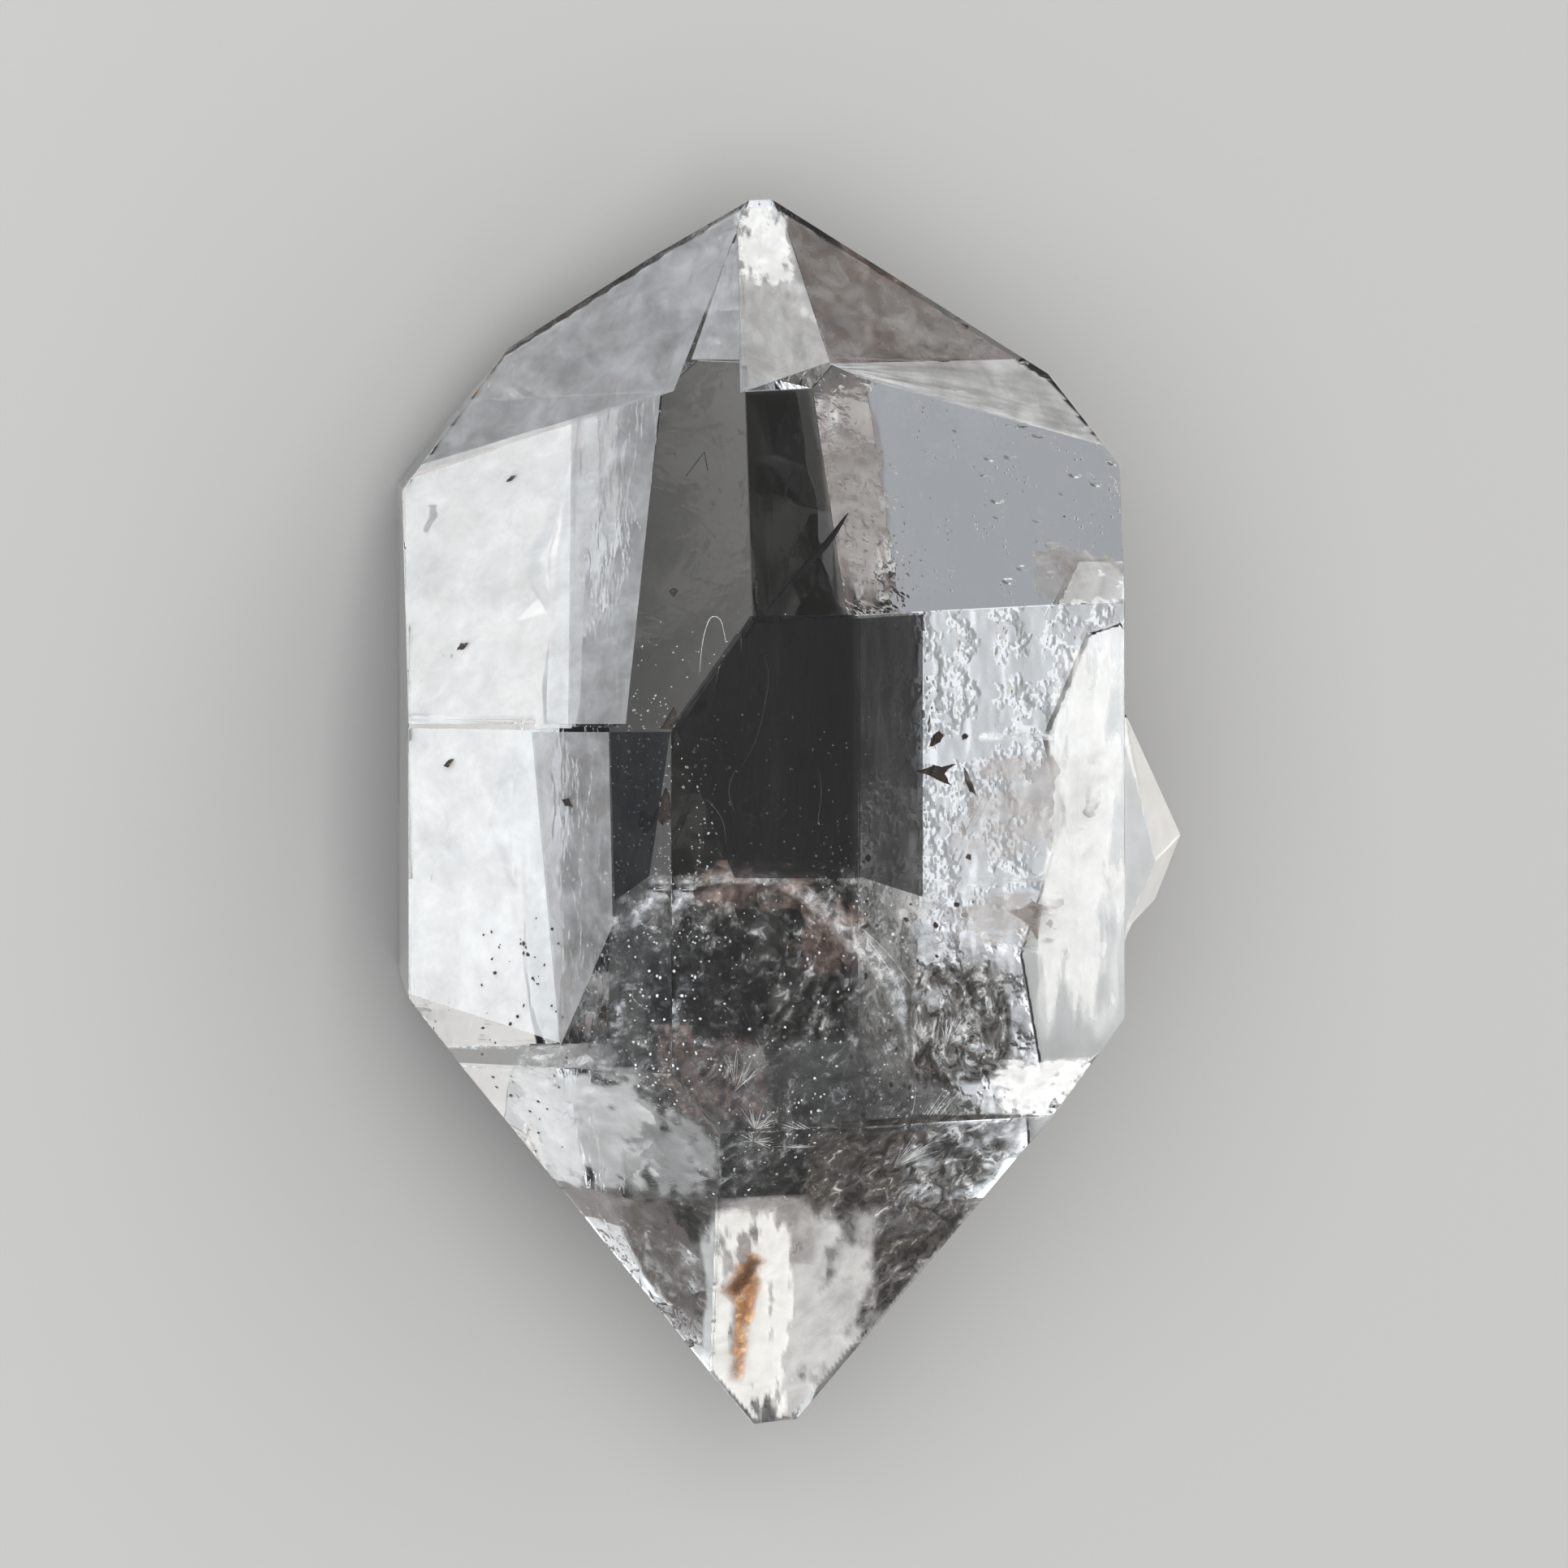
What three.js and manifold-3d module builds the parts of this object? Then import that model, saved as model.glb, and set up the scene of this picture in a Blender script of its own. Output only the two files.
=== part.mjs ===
// A quartz crystal pointed at both ends, with a small crystal grown into its side, lying on a prism face.
// Millimetres, +Z up. The long axis of the crystal is Y, and the face it lies on is at z = 0.
import * as THREE from 'three';
import { mergeVertices } from 'three/addons/utils/BufferGeometryUtils.js';
import Module from 'manifold-3d';

const wasm = await Module();
wasm.setup();

const DEGREE = Math.PI / 180;

// Quartz has six prism faces, 60 degrees apart, and six end faces at each tip.
const SIDES = 6;
const FACE_STEP = 60 * DEGREE;
const FIRST_FACE = 30 * DEGREE;
// How far an end face leans from the prism, from quartz's axis ratio c/a = 1.10.
const AXIS_RATIO = 1.1;
const END_LEAN = Math.atan((Math.sqrt(3) / 2) / AXIS_RATIO);

// How far each face of the main crystal grew from its middle. The names say where a face points when
// the crystal lies down and is seen from its lower tip: the first face points up and to the right.
const PRISM = { upperRight: 8.93, top: 6.2, upperLeft: 8.68, lowerLeft: 8.8, bottom: 7.61, lowerRight: 7.27 };
const UPPER_TIP = { upperRight: 12.27, top: 8.17, upperLeft: 8.52, lowerLeft: 11.85, bottom: 10.38, lowerRight: 10.7 };
const LOWER_TIP = { upperRight: 10.09, top: 9.36, upperLeft: 10.34, lowerLeft: 9.48, bottom: 9.67, lowerRight: 10.5 };

// The lower tip is worn blunt, and a flake is missing beside the upper one.
const BLUNT_TIP = { direction: [0.05, -1, 0.08], distance: 15.08 };
const TIP_FLAKE = { direction: [-0.6, 0.75, 0.25], distance: 10.62 };

// The side crystal sticks out of the lower right prism face. A low shoulder under it and a bud above it
// grew in the same direction.
const SIDE_AXIS = new THREE.Vector3(0.136, 0.9, 0.425).normalize();
const SIDE_SPIN = 44 * DEGREE;
const SIDE_CRYSTAL = { middle: [9.15, -1.22, 0.12], prism: 2.2, tip: 2.3 };
const SHOULDER = { middle: [8.12, -3.35, -0.25], prism: 2.1, tip: 2.6 };
const BUD = { middle: [7.75, 2.3, 0.1], prism: 1.35, tip: 2.0 };

const GLASS_GREY = 0xd9dadb;

// One plane: where it points, and how far it is from the origin along that direction.
function plane(direction, distance) {
  return { normal: direction.clone().normalize(), distance };
}

// The planes of a quartz crystal whose axis is Y, from the distances of its prism and end faces.
function quartzPlanes(prism, upper, lower) {
  const planes = [];
  for (let i = 0; i < SIDES; i += 1) {
    const angle = FIRST_FACE + i * FACE_STEP;
    const outward = new THREE.Vector3(Math.cos(angle), 0, Math.sin(angle));
    const rise = Math.sin(END_LEAN);
    const slope = outward.clone().multiplyScalar(Math.cos(END_LEAN));
    planes.push(plane(outward, prism[i]));
    planes.push(plane(slope.clone().setY(rise), upper[i]));
    planes.push(plane(slope.clone().setY(-rise), lower[i]));
  }
  return planes;
}

// The point where three planes meet, or null where they don't meet in one point.
function meet(a, b, c) {
  const cross = new THREE.Vector3().crossVectors(b.normal, c.normal);
  const volume = a.normal.dot(cross);
  if (Math.abs(volume) < 1e-6) {
    return null;
  }
  const point = cross.multiplyScalar(a.distance);
  point.addScaledVector(new THREE.Vector3().crossVectors(c.normal, a.normal), b.distance);
  point.addScaledVector(new THREE.Vector3().crossVectors(a.normal, b.normal), c.distance);
  return point.divideScalar(volume);
}

// All corners of the space inside the planes, each one once.
function corners(planes) {
  const found = [];
  for (let i = 0; i < planes.length; i += 1) {
    for (let j = i + 1; j < planes.length; j += 1) {
      for (let k = j + 1; k < planes.length; k += 1) {
        const point = meet(planes[i], planes[j], planes[k]);
        const inside = point && planes.every((p) => p.normal.dot(point) < p.distance + 1e-5);
        if (inside && !found.some((other) => other.distanceTo(point) < 1e-3)) {
          found.push(point);
        }
      }
    }
  }
  return found;
}

// A closed geometry for the space inside the planes, with each face cut into triangles as a fan.
function solidInside(planes) {
  const points = corners(planes);
  const triangles = [];
  for (const face of planes) {
    const ring = points.map((p, i) => i).filter((i) => Math.abs(face.normal.dot(points[i]) - face.distance) < 1e-3);
    if (ring.length < 3) {
      continue;
    }
    const middle = new THREE.Vector3();
    ring.forEach((i) => middle.addScaledVector(points[i], 1 / ring.length));
    const east = points[ring[0]].clone().sub(middle).normalize();
    const north = new THREE.Vector3().crossVectors(face.normal, east);
    const turn = (i) => Math.atan2(points[i].clone().sub(middle).dot(north), points[i].clone().sub(middle).dot(east));
    ring.sort((i, j) => turn(i) - turn(j));
    for (let i = 1; i < ring.length - 1; i += 1) {
      triangles.push(ring[0], ring[i], ring[i + 1]);
    }
  }
  const geometry = new THREE.BufferGeometry();
  geometry.setAttribute('position', new THREE.Float32BufferAttribute(points.flatMap((p) => p.toArray()), 3));
  geometry.setIndex(triangles);
  return geometry;
}

function toManifold(geometry) {
  const merged = mergeVertices(geometry);
  const mesh = new wasm.Mesh({
    numProp: 3,
    vertProperties: new Float32Array(merged.attributes.position.array),
    triVerts: new Uint32Array(merged.index.array),
  });
  return new wasm.Manifold(mesh);
}

function toGeometry(solid) {
  const { vertProperties, triVerts } = solid.getMesh();
  const geometry = new THREE.BufferGeometry();
  geometry.setAttribute('position', new THREE.BufferAttribute(vertProperties, 3));
  geometry.setIndex(new THREE.BufferAttribute(triVerts, 1));
  return geometry;
}

function mainCrystal() {
  const planes = quartzPlanes(Object.values(PRISM), Object.values(UPPER_TIP), Object.values(LOWER_TIP));
  for (const cut of [BLUNT_TIP, TIP_FLAKE]) {
    planes.push(plane(new THREE.Vector3(...cut.direction), cut.distance));
  }
  return solidInside(planes);
}

// A small crystal with even faces, turned so that its axis points along SIDE_AXIS.
function smallCrystal({ middle, prism, tip }) {
  const even = (distance) => Array(SIDES).fill(distance);
  const geometry = solidInside(quartzPlanes(even(prism), even(tip), even(tip)));
  geometry.rotateY(SIDE_SPIN);
  geometry.applyQuaternion(new THREE.Quaternion().setFromUnitVectors(new THREE.Vector3(0, 1, 0), SIDE_AXIS));
  return geometry.translate(...middle);
}

// The crystals grew into one another, so they are one solid, with its origin under its middle.
function crystalGeometry() {
  const small = [SIDE_CRYSTAL, SHOULDER, BUD].map(smallCrystal);
  const grown = small.reduce((whole, crystal) => whole.add(toManifold(crystal)), toManifold(mainCrystal()));
  const geometry = toGeometry(grown);
  geometry.computeBoundingBox();
  const { min, max } = geometry.boundingBox;
  return geometry.translate(-(min.x + max.x) / 2, -(min.y + max.y) / 2, -min.z);
}

const clearQuartz = new THREE.MeshStandardMaterial({ color: GLASS_GREY, roughness: 0.04, metalness: 0 });
const crystal = new THREE.Mesh(crystalGeometry(), clearQuartz);
crystal.name = 'crystal';

const specimen = new THREE.Group();
specimen.add(crystal);

export default specimen;
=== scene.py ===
"""A clear quartz crystal, pointed at both ends, with small crystals in its side and flecks, veils and a rust
stain sealed inside it. It lies on a pale floor in soft studio light."""
import math
import random

import bmesh
import bpy
from mathutils import Matrix, Vector, noise
from mathutils.bvhtree import BVHTree


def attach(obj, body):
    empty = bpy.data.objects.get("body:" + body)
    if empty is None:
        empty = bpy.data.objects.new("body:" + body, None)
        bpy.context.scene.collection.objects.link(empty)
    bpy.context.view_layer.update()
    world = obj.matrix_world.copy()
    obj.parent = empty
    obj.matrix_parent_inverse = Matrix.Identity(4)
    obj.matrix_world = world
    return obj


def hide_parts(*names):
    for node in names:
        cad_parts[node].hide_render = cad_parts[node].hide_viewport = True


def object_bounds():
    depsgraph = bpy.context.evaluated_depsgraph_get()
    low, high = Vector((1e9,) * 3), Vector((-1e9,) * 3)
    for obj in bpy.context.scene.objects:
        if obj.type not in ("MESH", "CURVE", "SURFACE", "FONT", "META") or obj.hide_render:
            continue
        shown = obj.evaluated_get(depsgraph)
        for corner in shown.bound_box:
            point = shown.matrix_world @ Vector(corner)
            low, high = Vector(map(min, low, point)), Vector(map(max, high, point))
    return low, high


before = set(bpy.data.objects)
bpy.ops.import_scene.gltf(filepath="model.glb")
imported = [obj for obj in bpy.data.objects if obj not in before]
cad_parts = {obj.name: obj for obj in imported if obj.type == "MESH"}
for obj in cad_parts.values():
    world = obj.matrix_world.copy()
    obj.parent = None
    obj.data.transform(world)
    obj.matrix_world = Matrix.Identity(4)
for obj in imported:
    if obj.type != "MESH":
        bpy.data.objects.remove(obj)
cad_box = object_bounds()

MM = 0.001

# The photograph is square. One pixel is this long at the middle of the crystal.
IMAGE_SIDE = 1932
PIXEL = 0.02 * MM

# The middle that the faces grew from, by its distances from the box of the crystal: from the left, from the
# broader tip and from the floor. The photograph shows it at MIDDLE_PIXEL.
MIDDLE_FROM_LEFT = 10.09 * MM
MIDDLE_FROM_TIP = 14.99 * MM
MIDDLE_HEIGHT = 7.61 * MM
MIDDLE = Vector((
    cad_box[0].x + MIDDLE_FROM_LEFT,
    cad_box[1].y - MIDDLE_FROM_TIP,
    cad_box[0].z + MIDDLE_HEIGHT,
))
MIDDLE_PIXEL = (935, 1000)

# The camera looks down on the crystal from its left, with the long axis up the picture.
CAMERA_TILT = math.radians(32.3)
CAMERA_RISE = math.radians(4.83)
CAMERA_DISTANCE = 1200 * MM
CAMERA_NEAREST = 0.05
CAMERA_FARTHEST = 10
SENSOR = 36.0
CAMERA_BACK = Vector((
    -math.sin(CAMERA_TILT) * math.cos(CAMERA_RISE),
    math.sin(CAMERA_RISE),
    math.cos(CAMERA_TILT) * math.cos(CAMERA_RISE),
))
CAMERA_RIGHT = Vector((math.cos(CAMERA_TILT), 0, math.sin(CAMERA_TILT)))
CAMERA_UP = CAMERA_BACK.cross(CAMERA_RIGHT)

QUARTZ_IOR = 1.555

# Prism faces are 60 degrees apart round Y, counted from the one that points up and to the right. The end
# faces lean this far from the prism. The far end is the broader one.
FIRST_FACE = math.radians(30)
FACE_STEP = math.radians(60)
END_LEAN = math.radians(38.21)
FACE_NAMES = ("upper_right", "top", "upper_left", "lower_left", "bottom", "lower_right")
LOWER_RIGHT_DISTANCE = 7.27 * MM

# A thing inside keeps this far from the face behind it and from the one in front of it. Where the crystal is
# thinner than THINNEST along the line of sight, there is nothing in it.
FROM_FACE_BEHIND = 0.25 * MM
FROM_FACE_IN_FRONT = 0.1 * MM
THINNEST = 0.36 * MM

rng = random.Random(11)


def rotation_of(x_axis, y_axis, z_axis):
    return Matrix((x_axis, y_axis, z_axis)).transposed()


def link(obj, material=None):
    bpy.context.scene.collection.objects.link(obj)
    if material is not None:
        obj.data.materials.append(material)
    return obj


# Places in the photograph

def on_picture_plane(x, y):
    """The point in the plane through MIDDLE, square to the view, that shows at a pixel of the photograph."""
    right = (x - MIDDLE_PIXEL[0]) * PIXEL
    up = (MIDDLE_PIXEL[1] - y) * PIXEL
    return MIDDLE + CAMERA_RIGHT * right + CAMERA_UP * up


CAMERA_PLACE = on_picture_plane(IMAGE_SIDE / 2, IMAGE_SIDE / 2) + CAMERA_BACK * CAMERA_DISTANCE


def surface_tree():
    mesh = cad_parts["crystal"].data
    return BVHTree.FromPolygons([v.co for v in mesh.vertices], [p.vertices for p in mesh.polygons])


SURFACE = surface_tree()


def seen_inside(x, y, depth):
    """The point inside the crystal that shows at a pixel, this many millimetres along the bent line of sight.
    A pixel beside the crystal gives None."""
    sight = (on_picture_plane(x, y) - CAMERA_PLACE).normalized()
    place, normal, _, _ = SURFACE.ray_cast(CAMERA_PLACE, sight)
    if place is None:
        return None
    if normal.dot(sight) > 0:
        normal = -normal
    slant = -normal.dot(sight)
    ratio = 1 / QUARTZ_IOR
    bent = ratio * sight + (ratio * slant - math.sqrt(1 - ratio ** 2 * (1 - slant ** 2))) * normal
    just_inside = place + bent * 0.01 * MM
    _, _, _, room = SURFACE.ray_cast(just_inside, bent)
    if room is None or room < THINNEST:
        return None
    return place + bent * max(min(depth * MM, room - FROM_FACE_BEHIND), FROM_FACE_IN_FRONT)


# Camera, floor and light

PANEL_DISTANCE = 0.3
WARM = (1.0, 0.985, 0.955)
COOL = (0.93, 0.97, 1.0)
ALONG = (0, 1, 0)
UPRIGHT = (0, 0, 1)

# Each panel's size is in metres, across it and along its up direction, and its power is per square metre.
GLASS_PANELS = {
    "key": dict(direction=(0.48, -0.2, 0.84), size=(0.17, 0.5), power=1.28, colour=WARM),
    "key_far": dict(direction=(0.40, 0.66, 0.70), size=(0.17, 0.12), power=1.8, colour=WARM),
    "left": dict(direction=(-1, 0.0, 0.1), size=(0.2, 0.1), power=1.8, colour=COOL, up=UPRIGHT),
    "left_far": dict(direction=(-0.79, 0.59, 0.16), size=(0.2, 0.12), power=4.0, colour=COOL, up=UPRIGHT),
    "near": dict(direction=(0.47, -0.76, 0.45), size=(0.1, 0.1), power=1.5, colour=WARM, up=UPRIGHT),
}
FLOOR_PANEL = dict(direction=(-0.55, 0.1, 0.85), size=(0.5, 0.5), power=14, colour=(1, 1, 1), distance=0.8)
INNER_PANELS = {
    "inner_right": dict(direction=(0.5, -0.2, 0.84), size=(0.2, 0.3), power=26, colour=(1.0, 0.98, 0.95)),
    "inner_left": dict(direction=(-0.8, 0.2, 0.55), size=(0.2, 0.3), power=22, colour=(0.9, 0.95, 1.0)),
}

FLOOR_SIDE = 1.5
FLOOR_DROP = -0.05 * MM
FLOOR_COLOUR = (0.8, 0.8, 0.79, 1)

# The world's colours from left to right, each with its place on the way.
WORLD_COLOURS = ((0.02, (0.36, 0.385, 0.415, 1)), (0.3, (0.365, 0.36, 0.355, 1)))


def make_camera():
    data = bpy.data.cameras.new("camera")
    data.sensor_width = SENSOR
    data.lens = SENSOR * CAMERA_DISTANCE / (IMAGE_SIDE * PIXEL)
    data.clip_start = CAMERA_NEAREST
    data.clip_end = CAMERA_FARTHEST
    camera = link(bpy.data.objects.new("camera", data))
    camera.location = CAMERA_PLACE
    camera.rotation_mode = "QUATERNION"
    camera.rotation_quaternion = rotation_of(CAMERA_RIGHT, CAMERA_UP, CAMERA_BACK).to_quaternion()
    bpy.context.scene.camera = camera


def make_floor():
    mesh = bpy.data.meshes.new("floor")
    turns = ((-1, -1), (1, -1), (1, 1), (-1, 1))
    mesh.from_pydata([(x * FLOOR_SIDE, y * FLOOR_SIDE, FLOOR_DROP) for x, y in turns], [], [(0, 1, 2, 3)])
    material = bpy.data.materials.new("floor")
    material.use_nodes = True
    shader = material.node_tree.nodes["Principled BSDF"]
    shader.inputs["Base Color"].default_value = FLOOR_COLOUR
    shader.inputs["Roughness"].default_value = 0.9
    shader.inputs["Specular IOR Level"].default_value = 0.1
    floor = link(bpy.data.objects.new("floor", mesh), material)


def panel(name, direction, size, power, colour, distance=PANEL_DISTANCE, up=ALONG):
    """A soft rectangular light that faces the crystal."""
    data = bpy.data.lights.new(name, "AREA")
    data.shape = "RECTANGLE"
    data.size, data.size_y = size
    data.color = colour
    data.energy = power * size[0] * size[1]
    light = link(bpy.data.objects.new(name, data))
    outward = Vector(direction).normalized()
    side = Vector(up).cross(outward).normalized()
    light.location = MIDDLE + outward * distance
    light.rotation_mode = "QUATERNION"
    light.rotation_quaternion = rotation_of(side, outward.cross(side), outward).to_quaternion()
    light.visible_camera = False
    return light


def make_panels():
    """The panels show in the glass only. The floor has a light of its own, above and to the left."""
    for name, facts in GLASS_PANELS.items():
        light = panel(name, **facts)
        light.visible_diffuse = False
        light.visible_glossy = False
    above = panel("above", **FLOOR_PANEL)
    above.visible_glossy = False
    above.visible_transmission = False


def make_inner_lights(pieces):
    """What is sealed in the crystal gets light that the crystal doesn't shade."""
    inside = bpy.data.collections.new("inside")
    for piece in pieces:
        inside.objects.link(piece)
    for name, facts in INNER_PANELS.items():
        light = panel(name, **facts)
        light.light_linking.receiver_collection = inside
        light.light_linking.blocker_collection = inside
        light.data.cycles.use_multiple_importance_sampling = False
        light.visible_glossy = False
        light.visible_transmission = False


def make_world():
    """Even grey light, a little bluer from the left."""
    world = bpy.data.worlds.new("studio")
    world.use_nodes = True
    nodes, links = world.node_tree.nodes, world.node_tree.links
    place = nodes.new("ShaderNodeTexCoord")
    split = nodes.new("ShaderNodeSeparateXYZ")
    ramp = nodes.new("ShaderNodeValToRGB")
    shift = nodes.new("ShaderNodeMapRange")
    links.new(place.outputs["Generated"], split.inputs["Vector"])
    links.new(split.outputs["X"], shift.inputs["Value"])
    shift.inputs["From Min"].default_value = -1
    shift.inputs["From Max"].default_value = 1
    links.new(shift.outputs["Result"], ramp.inputs["Fac"])
    for element, (position, colour) in zip(ramp.color_ramp.elements, WORLD_COLOURS):
        element.position = position
        element.color = colour
    links.new(ramp.outputs["Color"], nodes["Background"].inputs["Color"])
    bpy.context.scene.world = world


# Materials

class Nodes:
    """A material's node tree, with short calls for the few kinds of node that are used here."""

    def __init__(self, name):
        self.material = bpy.data.materials.new(name)
        self.material.use_nodes = True
        self.tree = self.material.node_tree
        self.shader = self.tree.nodes["Principled BSDF"]

    def put(self, socket, value):
        if isinstance(value, bpy.types.NodeSocket):
            self.tree.links.new(value, socket)
        else:
            socket.default_value = value

    def set(self, **values):
        for name, value in values.items():
            self.put(self.shader.inputs[name.replace("_", " ")], value)

    def place(self, stretch=(1, 1, 1), turn=(0, 0, 0)):
        """The place in the object, in millimetres, turned and stretched."""
        coordinates = self.tree.nodes.new("ShaderNodeTexCoord")
        mapping = self.tree.nodes.new("ShaderNodeMapping")
        mapping.inputs["Scale"].default_value = [s / MM for s in stretch]
        mapping.inputs["Rotation"].default_value = turn
        self.tree.links.new(coordinates.outputs["Object"], mapping.inputs["Vector"])
        return mapping.outputs["Vector"]

    def x_of(self, vector):
        node = self.tree.nodes.new("ShaderNodeSeparateXYZ")
        self.tree.links.new(vector, node.inputs["Vector"])
        return node.outputs["X"]

    def noise(self, vector, scale, detail=3.0, roughness=0.55, distortion=0.0):
        node = self.tree.nodes.new("ShaderNodeTexNoise")
        self.tree.links.new(vector, node.inputs["Vector"])
        node.inputs["Scale"].default_value = scale
        node.inputs["Detail"].default_value = detail
        node.inputs["Roughness"].default_value = roughness
        node.inputs["Distortion"].default_value = distortion
        return node.outputs["Fac"]

    def cells(self, vector, scale):
        node = self.tree.nodes.new("ShaderNodeTexVoronoi")
        self.tree.links.new(vector, node.inputs["Vector"])
        node.inputs["Scale"].default_value = scale
        return node.outputs["Distance"]

    def ramp(self, value, stops):
        """Colours or greys along a value. A stop is a position and a colour or grey."""
        node = self.tree.nodes.new("ShaderNodeValToRGB")
        elements = node.color_ramp.elements
        while len(elements) < len(stops):
            elements.new(0.5)
        for element, (position, colour) in zip(elements, stops):
            element.position = position
            element.color = (*colour, 1) if isinstance(colour, tuple) else (colour, colour, colour, 1)
        self.tree.links.new(value, node.inputs["Fac"])
        return node.outputs["Color"]

    def math(self, operation, a, b):
        node = self.tree.nodes.new("ShaderNodeMath")
        node.operation = operation
        self.put(node.inputs[0], a)
        self.put(node.inputs[1], b)
        return node.outputs[0]

    def attribute(self, name):
        node = self.tree.nodes.new("ShaderNodeAttribute")
        node.attribute_name = name
        return node.outputs["Fac"]

    def bump(self, height, depth):
        """Relief from a height. depth is in millimetres."""
        node = self.tree.nodes.new("ShaderNodeBump")
        node.inputs["Strength"].default_value = 1.0
        node.inputs["Distance"].default_value = depth * MM
        self.tree.links.new(height, node.inputs["Height"])
        return node.outputs["Normal"]


def quartz(name, relief, depth):
    """Clear quartz. relief draws the height of the face's fine relief, and depth is its depth in mm."""
    nodes = Nodes(name)
    nodes.set(Base_Color=(1, 1, 1, 1), Roughness=0.0, IOR=QUARTZ_IOR, Transmission_Weight=1.0)
    nodes.set(Normal=nodes.bump(relief(nodes), depth))
    return nodes.material


def faint_waves(nodes):
    return nodes.noise(nodes.place((1, 0.6, 1)), 0.35, 2.0)


def growth_lines(nodes):
    """Fine steps across a prism face, square to the long axis."""
    return nodes.noise(nodes.place((0.25, 4, 0.25)), 1.2, 4.0)


def etched(nodes):
    """The etched skin of a prism face: flat, with scattered shallow pits and low ridges."""
    pits = nodes.ramp(nodes.cells(nodes.place((1, 0.8, 1)), 5.5), [(0.08, 0.0), (0.24, 1.0)])
    patches = nodes.ramp(nodes.noise(nodes.place((1, 1.3, 1)), 0.8, 3.0), [(0.47, 0.0), (0.60, 1.0)])
    ridges = nodes.noise(nodes.place((1, 0.6, 1)), 0.9, 2.0)
    return nodes.math("ADD", nodes.math("MULTIPLY", pits, patches), nodes.math("MULTIPLY", ridges, 0.8))


def hillocks(nodes):
    """Small growth hillocks on the right of the face, drawn out to one side."""
    slope = math.radians(28)
    cells = nodes.cells(nodes.place((0.9, 2.2, 0.9), (0, 0, slope)), 1.3)
    on_right = nodes.ramp(nodes.x_of(nodes.place((0.1, 0.1, 0.1))), [(0.11, 0.0), (0.24, 1.0)])
    peaks = nodes.ramp(cells, [(0.0, 1.0), (0.12, 0.7), (0.24, 0.0)])
    return nodes.math("MULTIPLY", peaks, on_right)


def pale(name, stops, scale, cover, relief):
    """A veil of tiny bubbles: colours along a noise, and how much of it is there, which fades to its edge."""
    nodes = Nodes(name)
    grain = nodes.noise(nodes.place(), scale, 5.0, 0.68, 0.4)
    clouds = nodes.noise(nodes.place(), scale * 0.22, 3.0, 0.6, 0.8)
    colour = nodes.ramp(grain, stops)
    mixed = nodes.math("ADD", nodes.math("MULTIPLY", grain, 0.5), nodes.math("MULTIPLY", clouds, 0.5))
    alpha = nodes.math("MULTIPLY", nodes.ramp(mixed, cover), nodes.attribute("fade"))
    nodes.set(Base_Color=colour, Roughness=0.5, Alpha=alpha, Normal=nodes.bump(grain, relief))
    return nodes.material


# The crystal's own piece

SAME_POINT = 0.002 * MM
FLAT_ANGLE = math.radians(0.3)
LARGE_FACE = 3 * MM ** 2
SAME_WAY = 0.9995
WORN_LENGTH = 0.8 * MM
WORN_ANGLE = math.radians(5)
WEAR = 0.035 * MM

# The relief of each kind of face, with its depth in millimetres, and the faces that have it. The first kind
# is on all other faces.
FINISHES = {
    "quartz": (faint_waves, 0.01, ()),
    "quartz_growth_lines": (growth_lines, 0.0015, ("prism_lower_left", "prism_top", "prism_upper_left")),
    "quartz_etched": (etched, 0.0042, ("prism_lower_right",)),
    "quartz_hillocks": (hillocks, 0.02, ("far_top",)),
}


def face_normals():
    """The outward direction of each face of the main crystal, by name."""
    normals = {}
    for index, name in enumerate(FACE_NAMES):
        angle = FIRST_FACE + index * FACE_STEP
        flat = Vector((math.cos(angle), 0, math.sin(angle)))
        normals["prism_" + name] = flat
        for end, sign in (("far", 1), ("near", -1)):
            normals[end + "_" + name] = flat * math.cos(END_LEAN) + Vector((0, sign * math.sin(END_LEAN), 0))
    return normals


def crystal_mesh():
    bm = bmesh.new()
    bm.from_mesh(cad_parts["crystal"].data)
    bmesh.ops.remove_doubles(bm, verts=bm.verts, dist=SAME_POINT)
    return bm


def finish_faces(bm):
    """Gives each large face of the main crystal its own finish."""
    normals = face_normals()
    for face in bm.faces:
        face.smooth = False
        name = max(normals, key=lambda n: normals[n].dot(face.normal))
        if normals[name].dot(face.normal) <= SAME_WAY or face.calc_area() <= LARGE_FACE:
            continue
        for index, (_, _, faces) in enumerate(FINISHES.values()):
            if name in faces:
                face.material_index = index


def wear_edges(bm):
    edges = [e for e in bm.edges if e.calc_length() > WORN_LENGTH and e.calc_face_angle(0) > WORN_ANGLE]
    bmesh.ops.bevel(bm, geom=edges, offset=WEAR, segments=1, affect="EDGES", clamp_overlap=True, material=0)


def crystal_piece():
    """The crystal with its triangles joined into flat faces, worn edges, and each face's own fine relief."""
    materials = [quartz(name, relief, depth) for name, (relief, depth, _) in FINISHES.items()]
    bm = crystal_mesh()
    bmesh.ops.dissolve_limit(bm, angle_limit=FLAT_ANGLE, verts=bm.verts, edges=bm.edges)
    bm.normal_update()
    finish_faces(bm)
    wear_edges(bm)
    mesh = bpy.data.meshes.new("quartz_crystal")
    bm.to_mesh(mesh)
    bm.free()
    piece = link(bpy.data.objects.new("quartz_crystal", mesh))
    for material in materials:
        mesh.materials.append(material)
    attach(piece, "root")
    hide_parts("crystal")
    return piece


# Building blocks of what is sealed inside. Their places are pixels of the photograph, and depths are in
# millimetres.

def inner_piece(name, bm, material, smooth=True):
    mesh = bpy.data.meshes.new(name)
    for face in bm.faces:
        face.smooth = smooth
    bm.to_mesh(mesh)
    bm.free()
    piece = link(bpy.data.objects.new(name, mesh), material)
    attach(piece, "root")
    return piece


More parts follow.
